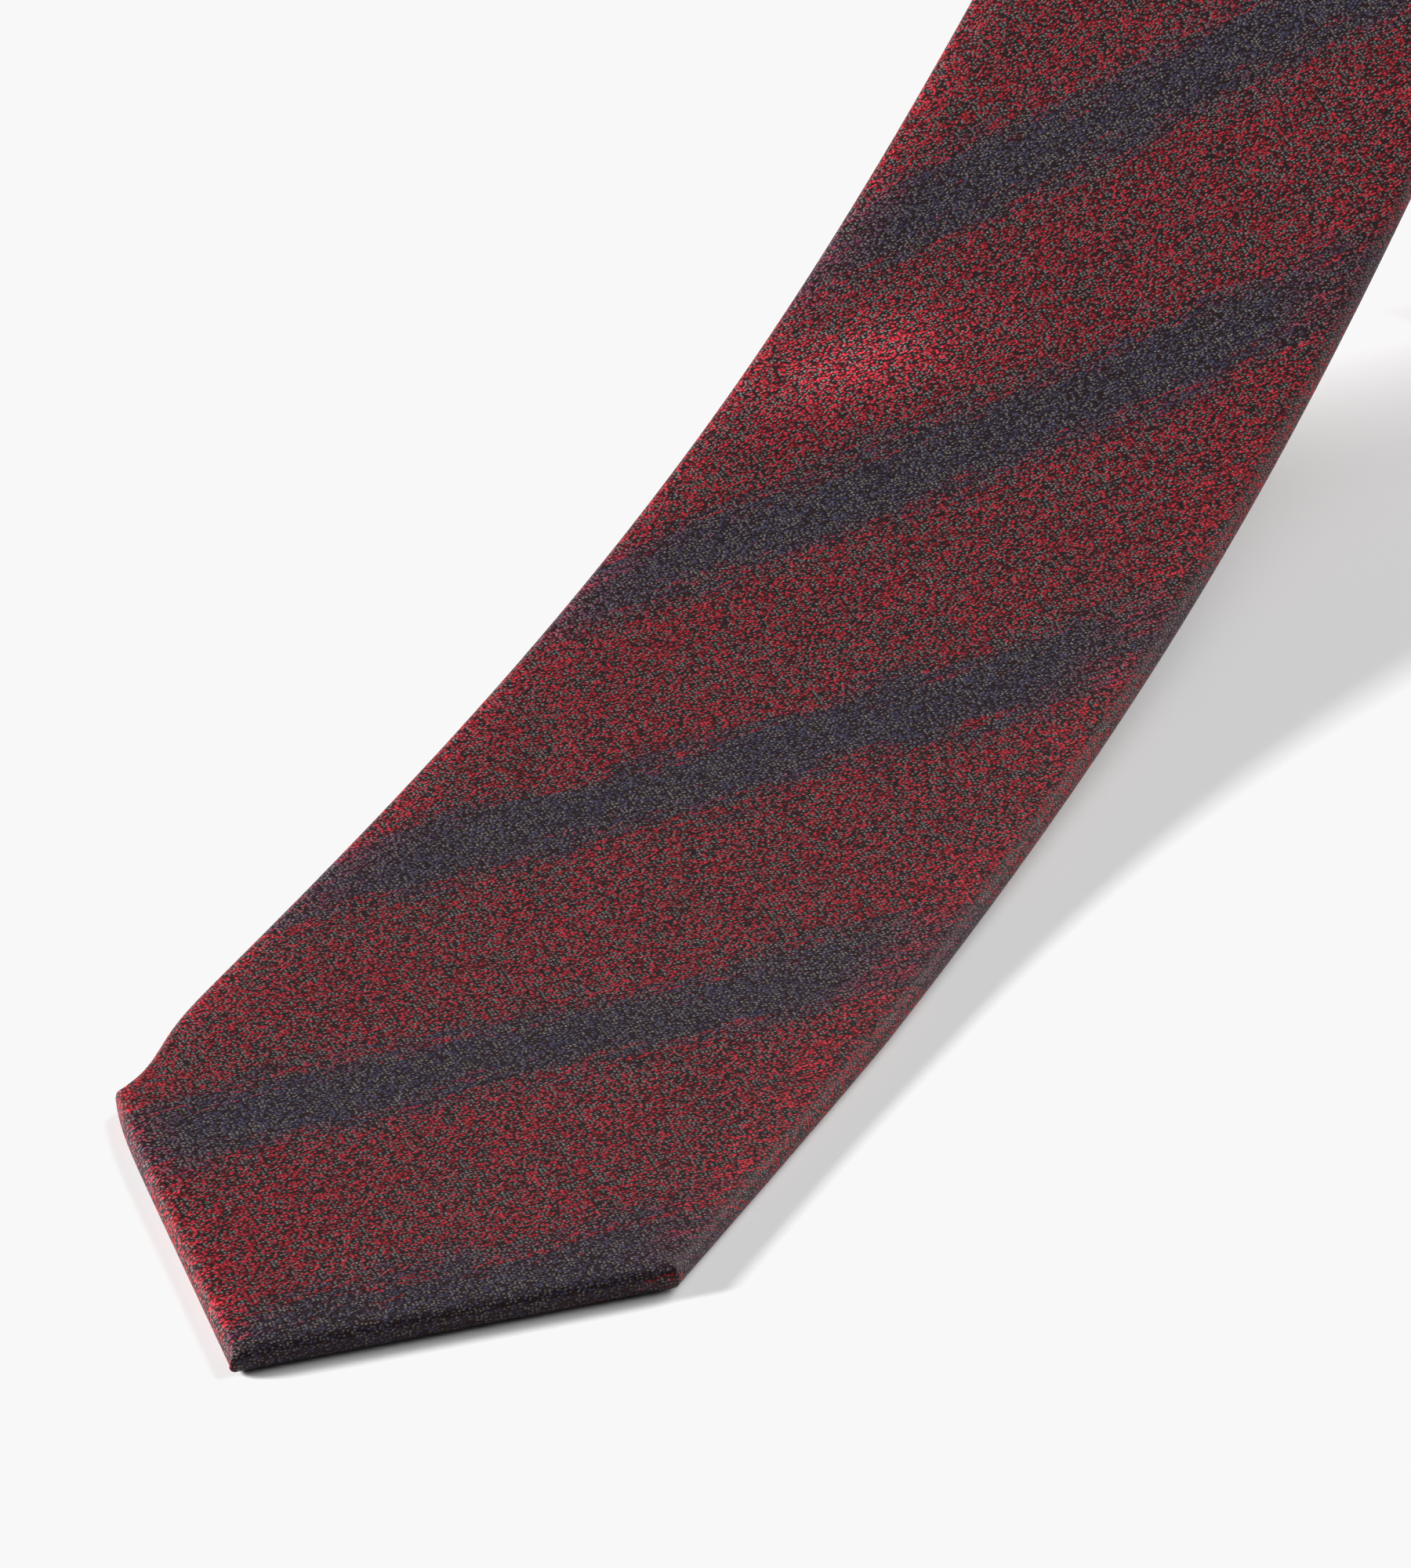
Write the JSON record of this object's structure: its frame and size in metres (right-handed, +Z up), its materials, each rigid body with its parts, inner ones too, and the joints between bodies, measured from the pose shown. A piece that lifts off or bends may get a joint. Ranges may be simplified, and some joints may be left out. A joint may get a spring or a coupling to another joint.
{
  "type": "necktie",
  "caption": "Folded silk necktie rolled up from its narrow end, standing on the roll, its pointed front blade sweeping down to lie flat.",
  "frame": {"origin": "middle of the footprint, on the table that the tie rests on", "axes": "+Z up, +X across the tie, +Y from the tip of the front blade towards the roll"},
  "size_m": [0.075, 0.388, 0.0881],
  "materials": {
    "silk": "burgundy silk satin with blurred navy bias stripes",
    "canvas": "wool interlining",
    "lining": "dark red lining",
    "thread": "sewing thread",
    "label": "woven label, blank",
    "tag": "white satin ribbon, blank"
  },
  "bodies": {
    "roll": {"front_shell_roll": "silk", "neck_shell": "silk", "tail_shell": "silk", "interlining_roll": "canvas", "tail_tipping": "lining", "front_neck_seam": "thread", "tail_neck_seam": "thread", "tail_bar_tack": "thread", "slip_stitch_roll": "thread"},
    "blade": {"front_shell_blade": "silk", "interlining_blade": "canvas", "front_bar_tack": "thread", "slip_stitch_blade": "thread", "blank_label": "label", "label_tack_lower_left": "thread", "label_tack_lower_right": "thread", "label_tack_upper_left": "thread", "label_tack_upper_right": "thread", "keeper_loop": "silk", "keeper_tack_left": "thread", "keeper_tack_right": "thread", "care_tag_stitch": "thread"},
    "tip": {"front_shell_tip": "silk", "interlining_tip": "canvas", "front_tipping": "lining"},
    "tag": {"care_tag": "tag"}
  },
  "joints": [
    {"name": "blade_lift", "type": "hinge", "parent": "roll", "child": "blade", "pos_m": [0, 0.12568, 0.0816], "axis": [-1, 0, 0], "range_deg": [0, 60], "stiffness_Nm_per_rad": 0.1, "springref_deg": -11.46},
    {"name": "tip_flex", "type": "hinge", "parent": "blade", "child": "tip", "pos_m": [0, -0.08258, 0.00544], "axis": [-1, 0, 0], "range_deg": [0, 45], "stiffness_Nm_per_rad": 0.02, "springref_deg": -11.46},
    {"name": "care_tag_swing", "type": "hinge", "parent": "blade", "child": "tag", "pos_m": [0, 0.05524, 0.03634], "axis": [1, 0, 0], "range_deg": [-35, 60]}
  ]
}
